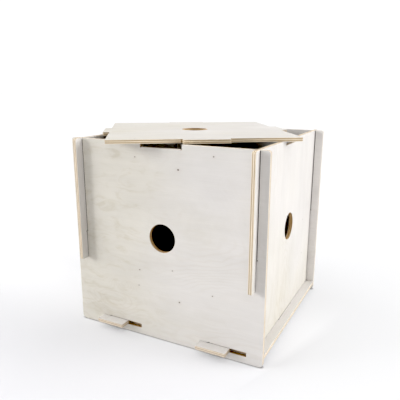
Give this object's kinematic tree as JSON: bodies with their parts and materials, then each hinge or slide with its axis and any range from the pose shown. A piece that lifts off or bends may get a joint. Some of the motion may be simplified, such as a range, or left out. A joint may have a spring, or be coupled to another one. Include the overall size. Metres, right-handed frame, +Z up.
{
  "type": "apple box",
  "caption": "Knock-down plywood box: slotted walls with finger holes, a base hooked into front and back, and a loose tabbed lid turned on top.",
  "frame": {"origin": "on the floor, under the middle of the lid, which is the middle of the whole footprint", "axes": "+Z up; -Y towards the front panel; the base's hooks point towards -X"},
  "size_m": [0.5084, 0.5084, 0.4083],
  "materials": {
    "plywood": "bare, sanded, pale five-ply board with tan edges"
  },
  "bodies": {
    "carcass": {"front_panel": "plywood", "back_panel": "plywood", "base": "plywood"},
    "left_wall": {"left_side": "plywood"},
    "right_wall": {"right_side": "plywood"},
    "top": {"lid": "plywood"}
  },
  "joints": [
    {"name": "left_side_lift", "type": "slide", "parent": "carcass", "child": "left_wall", "axis": [0, 0, 1], "range_m": [0, 0.39]},
    {"name": "right_side_lift", "type": "slide", "parent": "left_wall", "child": "right_wall", "axis": [0, 0, 1], "range_m": [0, 0.39]},
    {"name": "lid_lift", "type": "slide", "parent": "right_wall", "child": "top", "axis": [0, 0, 1], "range_m": [0, 0.25]}
  ]
}
